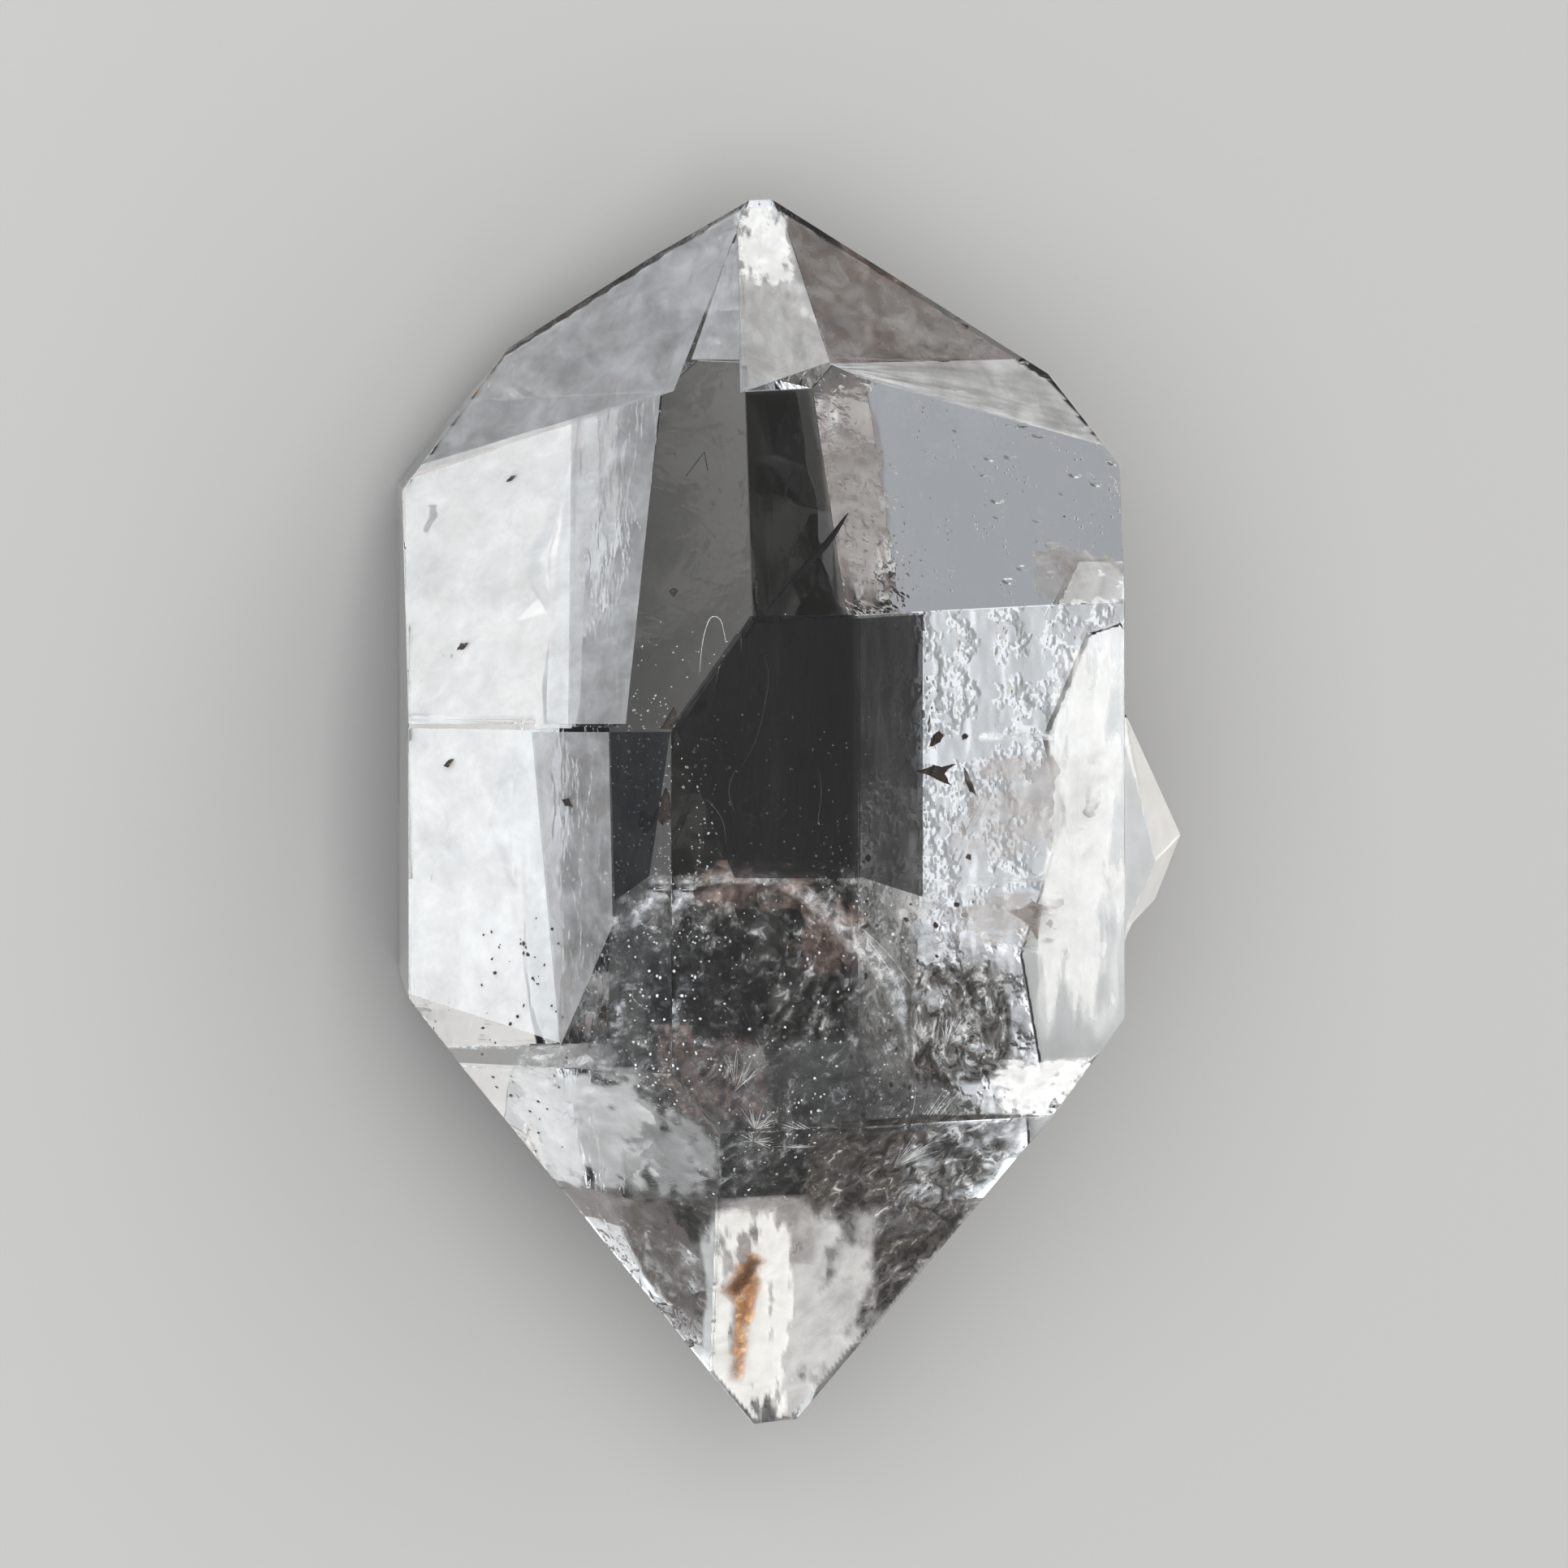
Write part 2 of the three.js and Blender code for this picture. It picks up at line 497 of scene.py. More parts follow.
def add_each(add, bm, table):
    for facts in table.values():
        add(bm, **facts)


def fade_layer(bm):
    """How much of a sheet or band is there, at each of its vertices."""
    return bm.verts.layers.float.get("fade") or bm.verts.layers.float.new("fade")


def random_shift():
    """Where in the endless noise a sheet or band lies."""
    return Vector((rng.uniform(0, 90), rng.uniform(0, 90), 0))


def smooth_path(points, steps):
    """A smooth curve through the points."""
    path = []
    for index in range(len(points) - 1):
        a, b = points[max(index - 1, 0)], points[index]
        c, d = points[index + 1], points[min(index + 2, len(points) - 1)]
        for step in range(steps):
            t = step / steps
            path.append(tuple(
                0.5 * (2 * q + (r - p) * t + (2 * p - 5 * q + 4 * r - s) * t ** 2
                       + (3 * q - p - 3 * r + s) * t ** 3)
                for p, q, r, s in zip(a, b, c, d)
            ))
    path.append(tuple(points[-1]))
    return path


def fill_grid(bm, rows, fade=None):
    """Faces between rows of vertices. Where one is missing, the others round that gap fade out."""
    for a, b in zip(rows, rows[1:]):
        for step in range(len(a) - 1):
            corner = (a[step], b[step], b[step + 1], a[step + 1])
            if None not in corner:
                bm.faces.new(corner)
            elif fade is not None:
                for vertex in corner:
                    if vertex is not None:
                        vertex[fade] = 0.0


def add_grain(bm, x, y, depth, size):
    """A lumpy dark grain. size is its width in pixels."""
    middle = seen_inside(x, y, depth)
    if middle is None:
        return
    lumpiness = 0.6
    made = bmesh.ops.create_icosphere(bm, subdivisions=2, radius=1.0)
    shift = Vector((rng.uniform(0, 50), rng.uniform(0, 50), rng.uniform(0, 50)))
    turn = rng.uniform(0, math.pi)
    stretch = rng.uniform(0.45, 1.0)
    for vertex in made["verts"]:
        way = vertex.co.normalized()
        reach = 0.5 * (1 + lumpiness * noise.fractal(way * 1.6 + shift, 1.0, 2.0, 4)) * size * PIXEL
        along, across = way.x * reach, way.y * reach * stretch
        right = along * math.cos(turn) - across * math.sin(turn)
        up = along * math.sin(turn) + across * math.cos(turn)
        vertex.co = middle + CAMERA_RIGHT * right + CAMERA_UP * up + CAMERA_BACK * way.z * reach * 0.5


def scatter_grains(bm, count, across, down, depth, size):
    for _ in range(count):
        add_grain(bm, rng.uniform(*across), rng.uniform(*down), rng.uniform(*depth), rng.uniform(*size))


def add_flake(bm, outline, depth, thickness=0.12):
    """An angular flake with slightly ragged edges. thickness is in millimetres."""
    parts = 3
    ragged = 0.9
    wavy = 0.04
    front, back = [], []
    for (x0, y0), (x1, y1) in zip(outline, outline[1:] + outline[:1]):
        for step in range(parts):
            x = x0 + (x1 - x0) * step / parts + rng.uniform(-ragged, ragged)
            y = y0 + (y1 - y0) * step / parts + rng.uniform(-ragged, ragged)
            lift = rng.uniform(-wavy, wavy)
            near, far = seen_inside(x, y, depth + lift), seen_inside(x, y, depth + thickness + lift)
            if near is None or far is None:
                return
            front.append(bm.verts.new(near))
            back.append(bm.verts.new(far))
    bm.faces.new(front)
    bm.faces.new(list(reversed(back)))
    for index in range(len(front)):
        after = (index + 1) % len(front)
        bm.faces.new((front[after], front[index], back[index], back[after]))


def sheet_cover(swell, rag, soft):
    """How much of a sheet is there. swell runs from 0 at its sides to 1 in its middle, and rag is a noise."""
    ragged = 0.5 + 0.9 * rag
    if soft:
        cover = min(1.0, 3 * swell) * (swell + 1.2 * (ragged - 0.5)) / soft
    else:
        cover = min(1.0, 3.2 * swell ** 0.75) * (0.55 + ragged)
    return max(0.0, min(1.0, cover))


def add_sheet(bm, corners, depth, bulge=0.0, ripple=0.0, steps=44, even=False, soft=0.0):
    """A thin curved sheet between four corners. depth is one for all, or one for each. The sheet thins out to
    a ragged edge, unless it is even. A larger soft makes that edge wider."""
    depths = depth if isinstance(depth, tuple) else (depth,) * 4
    fade = fade_layer(bm)
    shift = random_shift()
    rows = []
    for i in range(steps + 1):
        row = []
        for j in range(steps + 1):
            u, v = i / steps, j / steps
            weights = ((1 - u) * (1 - v), u * (1 - v), u * v, (1 - u) * v)
            x = sum(w * c[0] for w, c in zip(weights, corners))
            y = sum(w * c[1] for w, c in zip(weights, corners))
            here = sum(w * d for w, d in zip(weights, depths))
            swell = 16 * u * (1 - u) * v * (1 - v)
            wave = noise.fractal(Vector((u * 3, v * 3, 0)) + shift, 1.0, 2.0, 4)
            place = seen_inside(x, y, here + bulge * swell + ripple * wave)
            if place is None:
                row.append(None)
                continue
            vertex = bm.verts.new(place)
            rag = noise.fractal(Vector((u * 5, v * 5, 3)) + shift, 0.9, 2.0, 5)
            vertex[fade] = 1.0 if even else sheet_cover(swell, rag, soft)
            row.append(vertex)
        rows.append(row)
    fill_grid(bm, rows, fade)


def add_band(bm, points, width, ripple=0.15):
    """A ribbon along points, with smooth turns. width is in pixels, and it thins out to its sides."""
    half = 4
    fade = fade_layer(bm)
    path = smooth_path(points, 8)
    shift = random_shift()
    rows = []
    for index, (x, y, depth) in enumerate(path):
        along = index / (len(path) - 1)
        before, after = path[max(index - 1, 0)], path[min(index + 1, len(path) - 1)]
        ahead = Vector((after[0] - before[0], after[1] - before[1])).normalized()
        wide = width * (0.7 + 0.6 * noise.noise(Vector((along * 5, 0, 0)) + shift))
        row = []
        for step in range(2 * half + 1):
            side = step / half - 1
            lift = ripple * noise.noise(Vector((along * 6, side * 2, 5)) + shift)
            place = seen_inside(x - ahead.y * side * wide / 2, y + ahead.x * side * wide / 2, depth + lift)
            if place is None:
                row.append(None)
                continue
            vertex = bm.verts.new(place)
            vertex[fade] = (1 - side ** 2) * min(1.0, 8 * along * (1 - along))
            row.append(vertex)
        rows.append(row)
    fill_grid(bm, rows)


def strand_ring(bm, place, ahead, radius, sides):
    across = ahead.cross(CAMERA_BACK).normalized()
    other = across.cross(ahead).normalized()
    ring = []
    for side in range(sides):
        turn = 2 * math.pi * side / sides
        ring.append(bm.verts.new(place + (across * math.cos(turn) + other * math.sin(turn)) * radius))
    return ring


def add_strand(bm, points, thickness, ends=0.25):
    """A thin thread through points. thickness is in pixels, and ends is the share of it left at the ends."""
    path = [seen_inside(*point) for point in smooth_path(points, 5)]
    if None in path:
        return
    sides = 5
    rings = []
    for index, place in enumerate(path):
        along = index / (len(path) - 1)
        ahead = path[min(index + 1, len(path) - 1)] - path[max(index - 1, 0)]
        radius = thickness * PIXEL * (ends + (1 - ends) * math.sin(math.pi * along))
        rings.append(strand_ring(bm, place, ahead, radius, sides))
    for a, b in zip(rings, rings[1:]):
        for side in range(sides):
            after = (side + 1) % sides
            bm.faces.new((a[side], a[after], b[after], b[side]))
    bm.faces.new(list(reversed(rings[0])))
    bm.faces.new(rings[-1])


def add_plume(bm, x, y, depth, angle, spread, length, count, thickness):
    """A feathery fracture: threads that fan out from a point. Angles are in degrees, anticlockwise."""
    for _ in range(count):
        way = math.radians(angle + rng.uniform(-spread, spread))
        reach = length * rng.uniform(0.45, 1.0)
        bend = rng.uniform(-0.25, 0.25)
        start = rng.uniform(0.0, 0.25)
        points = []
        for step in range(4):
            along = start + (1 - start) * step / 3
            turn = way + bend * along
            far = reach * along
            points.append((x + far * math.cos(turn), y - far * math.sin(turn), depth + along))
        add_strand(bm, points, thickness * rng.uniform(0.5, 1.2), 0.1)


def scatter_specks(bm, across, down, depth, count, size):
    """Bright specks in a region. size is their width in pixels."""
    for _ in range(count):
        place = seen_inside(rng.uniform(*across), rng.uniform(*down), rng.uniform(*depth))
        if place is None:
            continue
        radius = size * PIXEL * rng.uniform(0.4, 1.3)
        made = bmesh.ops.create_icosphere(bm, subdivisions=1, radius=radius)
        squash = Vector((rng.uniform(0.5, 1), rng.uniform(0.5, 1), rng.uniform(0.5, 1)))
        for vertex in made["verts"]:
            vertex.co = place + vertex.co * squash


# Black carbon

CARBON_FLAKES = {
    "star_on_the_right": dict(depth=2.0, outline=[
        (1128, 950), (1144, 946), (1150, 942), (1160, 945),
        (1178, 940), (1164, 953), (1172, 968), (1146, 957)]),
    "dot_above_the_star": dict(depth=4.6, outline=[
        (1145, 920), (1149, 906), (1157, 901), (1163, 905), (1158, 914), (1150, 919)]),
    "bar_beside_the_star": dict(depth=4.5, outline=[
        (1187, 946), (1193, 952), (1198, 966), (1204, 982), (1195, 974), (1188, 962)]),
    "lower_on_the_right": dict(depth=1.6, outline=[
        (1242, 1123), (1260, 1118), (1273, 1111), (1290, 1118), (1292, 1127), (1278, 1158), (1268, 1140)]),
    "at_the_right_edge": dict(depth=2.5, outline=[
        (1338, 967), (1343, 969), (1344, 985), (1336, 1008), (1333, 1003), (1339, 984)]),
    "deep_in_the_middle": dict(depth=6.0, outline=[
        (935, 1004), (944, 988), (953, 968), (958, 985), (970, 1004), (956, 1007), (947, 1014)]),
    "beside_the_deep_one": dict(depth=6.0, outline=[
        (912, 1014), (917, 997), (926, 1003), (937, 1006), (930, 1018), (921, 1026)]),
    "needle_over_the_dome": dict(depth=5.0, outline=[
        (1034, 1078), (1040, 1076), (1044, 1092), (1043, 1114), (1038, 1108), (1036, 1092)]),
    "dot_by_the_needle": dict(depth=5.0, outline=[(1018, 1088), (1027, 1087), (1031, 1098), (1023, 1103)]),
    "hook_on_the_dome": dict(depth=4.2, outline=[
        (1056, 1152), (1060, 1142), (1072, 1137), (1066, 1145), (1061, 1156)]),
    "chip_on_the_dome": dict(depth=5.6, outline=[(968, 1162), (979, 1156), (985, 1164), (977, 1175)]),
    "high_in_the_middle": dict(depth=6.5, outline=[(935, 802), (941, 797), (947, 801), (942, 810)]),
    "left_face_middle": dict(depth=0.15, outline=[(562, 801), (568, 793), (578, 792), (571, 800)]),
    "left_face_top": dict(depth=0.15, outline=[(624, 594), (630, 586), (637, 585), (630, 593)]),
    "left_face_low": dict(depth=0.15, outline=[(546, 944), (552, 936), (559, 936), (553, 945)]),
    "left_face_right": dict(depth=0.15, outline=[(692, 985), (700, 983), (705, 994), (697, 993)]),
}
CARBON_GRAINS = {
    "above_the_star": dict(x=1189, y=908, depth=4.6, size=9),
    "dome_top": dict(x=965, y=1126, depth=5.8, size=10),
    "dome_right": dict(x=1028, y=1184, depth=5.0, size=9),
    "left_of_the_dome": dict(x=722, y=1205, depth=3.0, size=9),
    "left_and_lower": dict(x=744, y=1243, depth=3.0, size=8),
    "dome_edge": dict(x=1067, y=1203, depth=4.5, size=8),
    "dome_middle": dict(x=1042, y=1230, depth=4.5, size=8),
    "dome_left": dict(x=853, y=1150, depth=5.0, size=8),
    "beside_the_lower_one": dict(x=742, y=1252, depth=3.0, size=9),
}
CARBON_DUST = {
    "left_face": dict(count=60, across=(590, 700), down=(1120, 1420), depth=(0.15, 0.35), size=(2, 5)),
    "round_the_dome": dict(count=40, across=(1040, 1200), down=(1050, 1560), depth=(2, 7), size=(3, 9)),
}


def make_flecks():
    """Flakes and grains of black carbon."""
    nodes = Nodes("black_carbon")
    tone = nodes.noise(nodes.place(), 6.0, 4.0, 0.6)
    black, brown, grey = (0.012, 0.011, 0.010), (0.05, 0.036, 0.026), (0.22, 0.19, 0.16)
    colour = nodes.ramp(tone, [(0.35, black), (0.62, brown), (0.75, grey)])
    nodes.set(Base_Color=colour, Roughness=0.45, Normal=nodes.bump(tone, 0.08))
    bm = bmesh.new()
    add_each(add_flake, bm, CARBON_FLAKES)
    add_each(add_grain, bm, CARBON_GRAINS)
    add_each(scatter_grains, bm, CARBON_DUST)
    return inner_piece("carbon_flecks", bm, nodes.material, smooth=False)


# Veils and films

BRIGHT_BANDS = {
    "rim_of_the_dome": dict(width=36, points=[
        (759, 1155, 1.6), (784, 1124, 1.7), (833, 1092, 1.8), (886, 1082, 1.8), (960, 1085, 1.8),
        (1026, 1129, 1.8), (1057, 1160, 1.7), (1100, 1216, 1.6), (1130, 1290, 1.5), (1140, 1350, 1.5)]),
    "right_high": dict(width=18, points=[(1197, 908, 1), (1260, 906, 1), (1328, 908, 1)]),
    "right_middle": dict(width=20, points=[(1140, 1090, 1), (1230, 1085, 1), (1308, 1084, 1)]),
    "right_low": dict(width=16, points=[(1160, 1120, 1), (1240, 1165, 1), (1318, 1172, 1)]),
    "slanting": dict(width=7, points=[(1238, 944, 3), (1206, 1009, 3), (1170, 1084, 3)]),
    "slanting_too": dict(width=6, points=[(1226, 950, 3), (1192, 1020, 3), (1160, 1090, 3)]),
    "short": dict(width=8, points=[(1238, 846, 3), (1226, 900, 3)]),
    "shoulder_of_the_dome": dict(width=44, points=[(1130, 1130, 3), (1160, 1100, 3)]),
    "lower_right_corner": dict(width=60, points=[(1220, 1312, 1.5), (1290, 1340, 1.5), (1350, 1310, 1.5)]),
    "narrow_end_left": dict(width=50, points=[(640, 1330, 2), (700, 1345, 2.5), (765, 1360, 3)]),
    "left_corner": dict(width=10, points=[(560, 1290, 1.5), (700, 1292, 3)]),
}
HEALED_SHEETS = {
    "behind_the_dome": dict(
        corners=((770, 1070), (1120, 1060), (1180, 1400), (800, 1400)),
        depth=(5, 5, 8, 7), bulge=-2.5, ripple=0.6),
    "left_of_the_dome": dict(
        corners=((690, 1130), (860, 1080), (900, 1330), (690, 1330)),
        depth=(3, 4, 6, 4), bulge=-1.0, ripple=0.6),
    "right_of_the_dome": dict(
        corners=((1040, 1100), (1260, 1180), (1290, 1380), (1040, 1390)),
        depth=(4, 3, 4, 6), bulge=1.0, ripple=0.8),
    "under_the_dome": dict(
        corners=((820, 1300), (1130, 1290), (1200, 1560), (860, 1540)),
        depth=(4, 5, 3, 3), bulge=1.2, ripple=0.8),
    "narrow_end_right": dict(
        corners=((1000, 1380), (1290, 1370), (1130, 1640), (980, 1560)),
        depth=(3, 2, 1.5, 3), bulge=1.0, ripple=0.6),
    "narrow_end_left": dict(
        corners=((700, 1340), (890, 1380), (885, 1660), (780, 1560)),
        depth=(3, 4, 2, 2), bulge=0.6, ripple=0.6),
}
BROWN_SHEETS = {
    "dome_top": dict(
        corners=((850, 1055), (1010, 1057), (1010, 1125), (850, 1130)), depth=1.2, ripple=0.1, soft=0.6),
    "dome_foot": dict(
        corners=((810, 1255), (960, 1270), (940, 1405), (820, 1340)),
        depth=(1, 1, 1.2, 1.2), ripple=0.1, soft=0.5),
    "dome_right": dict(
        corners=((980, 1095), (1070, 1105), (1070, 1210), (975, 1200)), depth=1.2, ripple=0.1, soft=0.6),
    "broad_end_right": dict(
        corners=((985, 300), (1130, 360), (1150, 440), (1010, 440)),
        depth=(2.0, 2.5, 3, 3), ripple=0.1, soft=0.5, steps=20),
    "broad_end_left": dict(
        corners=((560, 430), (700, 390), (690, 480), (560, 500)),
        depth=(1.5, 1.5, 2, 2), ripple=0.1, soft=0.5, steps=20),
}


def make_dome():
    """The bright rim of the rounded veil in the middle, and the bright streaks round it."""
    stops = [(0.30, 0.2), (0.46, 0.42), (0.56, 0.7), (0.66, 1.0)]
    cover = [(0.42, 0.15), (0.52, 0.6), (0.6, 0.95)]
    material = pale("bright_veil", stops, 3.0, cover, relief=0.05)
    bm = bmesh.new()
    add_each(add_band, bm, BRIGHT_BANDS)
    return inner_piece("bright_veils", bm, material)


def make_clouds():
    """The veils of healed fractures that fill the narrower end."""
    stops = [(0.32, 0.01), (0.47, 0.05), (0.56, 0.16), (0.63, 0.45), (0.70, 0.85)]
    cover = [(0.44, 0.0), (0.52, 0.35), (0.60, 0.8)]
    material = pale("healed_veil", stops, 2.2, cover, relief=0.06)
    bm = bmesh.new()
    add_each(add_sheet, bm, HEALED_SHEETS)
    return inner_piece("healed_veils", bm, material)


def make_tints():
    """Brownish films that lie along the healed fractures."""
    stops = [(0.38, (0.08, 0.05, 0.042)), (0.55, (0.22, 0.16, 0.14)), (0.7, (0.42, 0.33, 0.3))]
    cover = [(0.40, 0.05), (0.60, 0.5)]
    material = pale("brown_film", stops, 1.6, cover, relief=0.03)
    bm = bmesh.new()
    add_each(add_sheet, bm, BROWN_SHEETS)
    return inner_piece("brown_films", bm, material)


# Threads and specks

LOOPS = {
    "hook_over_the_middle": [(862, 828, 1), (866, 790, 1), (875, 762, 1), (888, 764, 1), (894, 790, 1)],
    "curve_in_the_middle": [(912, 948, 1), (930, 915, 1), (940, 880, 1), (947, 835, 1), (942, 808, 1)],
    "middle_left": [(905, 950, 1), (898, 975, 1), (905, 1000, 1)],
    "middle_low": [(872, 985, 1), (890, 1010, 1), (895, 1040, 1)],
    "middle_right": [(1008, 945, 1), (1012, 975, 1), (1008, 1010, 1)],
    "hook_in_the_dome": [(890, 1205, 5), (878, 1225, 5), (890, 1238, 5), (905, 1246, 5)],
    "under_the_hook": [(915, 1240, 5), (928, 1270, 5), (945, 1312, 5)],
    "right_of_the_dome": [(1030, 1120, 4), (1085, 1165, 4), (1130, 1225, 4), (1165, 1300, 4)],
    "right_of_the_dome_too": [(1060, 1145, 4), (1105, 1210, 4), (1128, 1280, 4)],
}
PLUMES = {
    "narrow_end_left": dict(
        x=880, y=1452, depth=1.2, angle=178, spread=11, length=105, count=46, thickness=0.3),
    "narrow_end_up": dict(x=881, y=1517, depth=1.2, angle=132, spread=3, length=58, count=3, thickness=0.5),
    "right_of_the_dome": dict(
        x=1165, y=1290, depth=1.0, angle=62, spread=34, length=90, count=30, thickness=0.26),
    "narrow_end_right": dict(
        x=1100, y=1440, depth=0.6, angle=45, spread=22, length=140, count=30, thickness=0.26),
    "narrow_end_middle": dict(
        x=1008, y=1412, depth=1.0, angle=186, spread=9, length=66, count=6, thickness=0.4),
    "under_the_dome": dict(
        x=930, y=1392, depth=1.2, angle=70, spread=60, length=34, count=20, thickness=0.3),
    "foot_of_the_dome": dict(
        x=905, y=1345, depth=1.2, angle=60, spread=38, length=60, count=16, thickness=0.26),
    "left_face": dict(x=640, y=950, depth=1.6, angle=95, spread=12, length=60, count=8, thickness=0.4),
}
SPECK_REGIONS = {
    "dome": dict(across=(780, 1200), down=(1060, 1400), depth=(1.4, 8), count=520, size=2.2),
    "left_of_the_middle": dict(across=(760, 825), down=(905, 1090), depth=(2, 5), count=90, size=2.0),
    "middle": dict(across=(850, 1080), down=(880, 1090), depth=(5, 9), count=120, size=1.6),
    "left_of_the_dome": dict(across=(690, 830), down=(1120, 1320), depth=(2, 6), count=120, size=2.2),
    "narrow_end": dict(across=(900, 1230), down=(1390, 1560), depth=(1.5, 4), count=150, size=2.4),
    "left_face": dict(across=(640, 760), down=(900, 1120), depth=(1, 3), count=60, size=2.0),
    "over_the_dome": dict(across=(1000, 1150), down=(1000, 1120), depth=(4, 7), count=90, size=1.8),
}


def make_wisps():
    """White threads, loops and plumes."""
    nodes = Nodes("white_thread")
    tone = nodes.noise(nodes.place(), 5.0, 3.0)
    nodes.set(Base_Color=nodes.ramp(tone, [(0.3, 0.5), (0.6, 0.95)]), Roughness=0.4)
    bm = bmesh.new()
    for points in LOOPS.values():
        add_strand(bm, points, rng.uniform(0.4, 0.8))
    add_each(add_plume, bm, PLUMES)
    return inner_piece("white_threads", bm, nodes.material)


def make_specks():
    """Bright specks: small bubbles and crystals of salt."""
    nodes = Nodes("bright_speck")
    nodes.set(Base_Color=nodes.ramp(nodes.noise(nodes.place(), 3.0), [(0.4, 0.6), (0.6, 1.0)]), Roughness=0.3)
    bm = bmesh.new()
    add_each(scatter_specks, bm, SPECK_REGIONS)
    return inner_piece("bright_specks", bm, nodes.material)


# Rust

RUST_BANDS = {
    "blob": dict(width=46, ripple=0.0, points=[(934, 1544, 0.13), (918, 1572, 0.13), (896, 1602, 0.13)]),
    "streak": dict(width=30, ripple=0.0, points=[
        (926, 1572, 0.12), (923, 1612, 0.12), (916, 1655, 0.12), (906, 1705, 0.12)]),
    "streak_left": dict(width=26, ripple=0.0, points=[
        (913, 1596, 0.14), (911, 1630, 0.14), (905, 1672, 0.14)]),
}
RUST_CORE = dict(width=26, ripple=0.0, points=[(932, 1549, 0.1), (919, 1572, 0.1), (903, 1594, 0.1)])


def make_rust():
    """The rust stain near the narrower tip."""
    brown, rust, orange, cream = (0.16, 0.06, 0.02), (0.34, 0.15, 0.05), (0.62, 0.36, 0.16), (0.9, 0.76, 0.58)
    stops = [(0.35, brown), (0.5, rust), (0.62, orange), (0.7, cream)]
    material = pale("rust", stops, 2.6, [(0.36, 0.1), (0.50, 0.85)], relief=0.02)
    bm = bmesh.new()
    add_each(add_band, bm, RUST_BANDS)
    return inner_piece("rust_stain", bm, material)


def make_rust_core():
    """The dark brown middle of the rust stain."""
    nodes = Nodes("rust_core")
    grain = nodes.noise(nodes.place(), 5.0, 4.0)
    cover = nodes.math("MULTIPLY", nodes.attribute("fade"), nodes.ramp(grain, [(0.4, 0.6), (0.6, 1.0)]))
    dark, brown = (0.02, 0.008, 0.003), (0.16, 0.06, 0.015)
    nodes.set(Base_Color=nodes.ramp(grain, [(0.4, dark), (0.65, brown)]), Alpha=cover)
    bm = bmesh.new()
    add_band(bm, **RUST_CORE)
    return inner_piece("rust_core", bm, nodes.material)


# Haze with painted light and shade, a painted shade film, and dark feathers close under the faces

# Milky haze and painted light and shade: a zone's tone sets how bright the face above it looks. A tone runs
# from brown at 0 through grey to white at 1. A zone with no soft edge is even.
HAZE_AND_PAINTED_SHADING_ZONES = {
    "broad_end_left": dict(tone=0.42, corners=((515, 582), (620, 414), (925, 240), (830, 482))),
    "broad_end_right_low": dict(tone=0.45, corners=((1022, 448), (1270, 442), (1385, 556), (1062, 466))),
    "broad_end_right": dict(tone=0.05, corners=((960, 250), (1275, 442), (1150, 444), (1024, 448))),
    "broad_end_middle": dict(tone=0.38, corners=((908, 252), (960, 252), (1022, 446), (912, 484))),
    "broad_tip_white": dict(
        tone=1.2, soft=0.4, depth=0.15, corners=((902, 246), (968, 246), (990, 360), (906, 350))),
    "broad_end_sliver": dict(tone=0.5, corners=((902, 300), (911, 300), (911, 443), (852, 443))),
    "left_upper_bright": dict(tone=0.8, depth=0.4, corners=((500, 592), (712, 520), (705, 892), (500, 892))),
    "left_upper_grey": dict(tone=0.42, corners=((704, 516), (814, 484), (771, 892), (700, 892))),
    "left_lower_bright": dict(
        tone=0.8, depth=0.4, corners=((500, 897), (665, 900), (690, 1285), (506, 1225))),
    "left_lower_grey": dict(tone=0.28, corners=((655, 902), (750, 902), (755, 1140), (690, 1290))),
    "beige_strip": dict(tone=-0.1, soft=0.3, corners=((996, 460), (1082, 450), (1108, 756), (1038, 760))),
    "narrow_end_white": dict(
        tone=0.85, soft=0.3, corners=((570, 1310), (800, 1314), (830, 1470), (690, 1480))),
    "narrow_end_grey": dict(
        tone=0.35, soft=0.5, corners=((750, 1330), (895, 1390), (885, 1480), (770, 1480))),
    "narrow_end_brown": dict(
        tone=0.0, soft=0.12, corners=((650, 1435), (810, 1465), (884, 1560), (884, 1725))),
    "narrow_end_middle": dict(
        tone=0.2, soft=0.0, corners=((885, 1476), (1000, 1470), (1010, 1560), (885, 1550))),
    "narrow_tip_pale": dict(
        tone=0.6, soft=0.4, depth=0.3, corners=((845, 1475), (1100, 1480), (1060, 1790), (862, 1770))),
    "narrow_tip_white": dict(
        tone=1.3, soft=0.25, depth=0.22, corners=((860, 1490), (985, 1480), (970, 1790), (866, 1770))),
    "lower_right_corner": dict(
        tone=1.3, soft=0.4, depth=0.15, corners=((1210, 1306), (1362, 1300), (1300, 1376), (1235, 1380))),
    "right_edge": dict(tone=0.62, soft=0.5, corners=((1300, 765), (1392, 745), (1388, 1290), (1262, 1290))),
    "right_edge_brown": dict(
        tone=0.15, soft=0.15, corners=((1270, 660), (1394, 680), (1392, 752), (1270, 754))),
    # Painted shade on the right face, upper and lower.
    "right_face_painted_shade": dict(
        tone=0.12, soft=0.9, corners=((1180, 925), (1372, 915), (1366, 1062), (1145, 1072))),
    "right_face_low_painted_shade": dict(
        tone=0.12, soft=0.8, corners=((1150, 1096), (1330, 1092), (1325, 1168), (1160, 1168))),
}
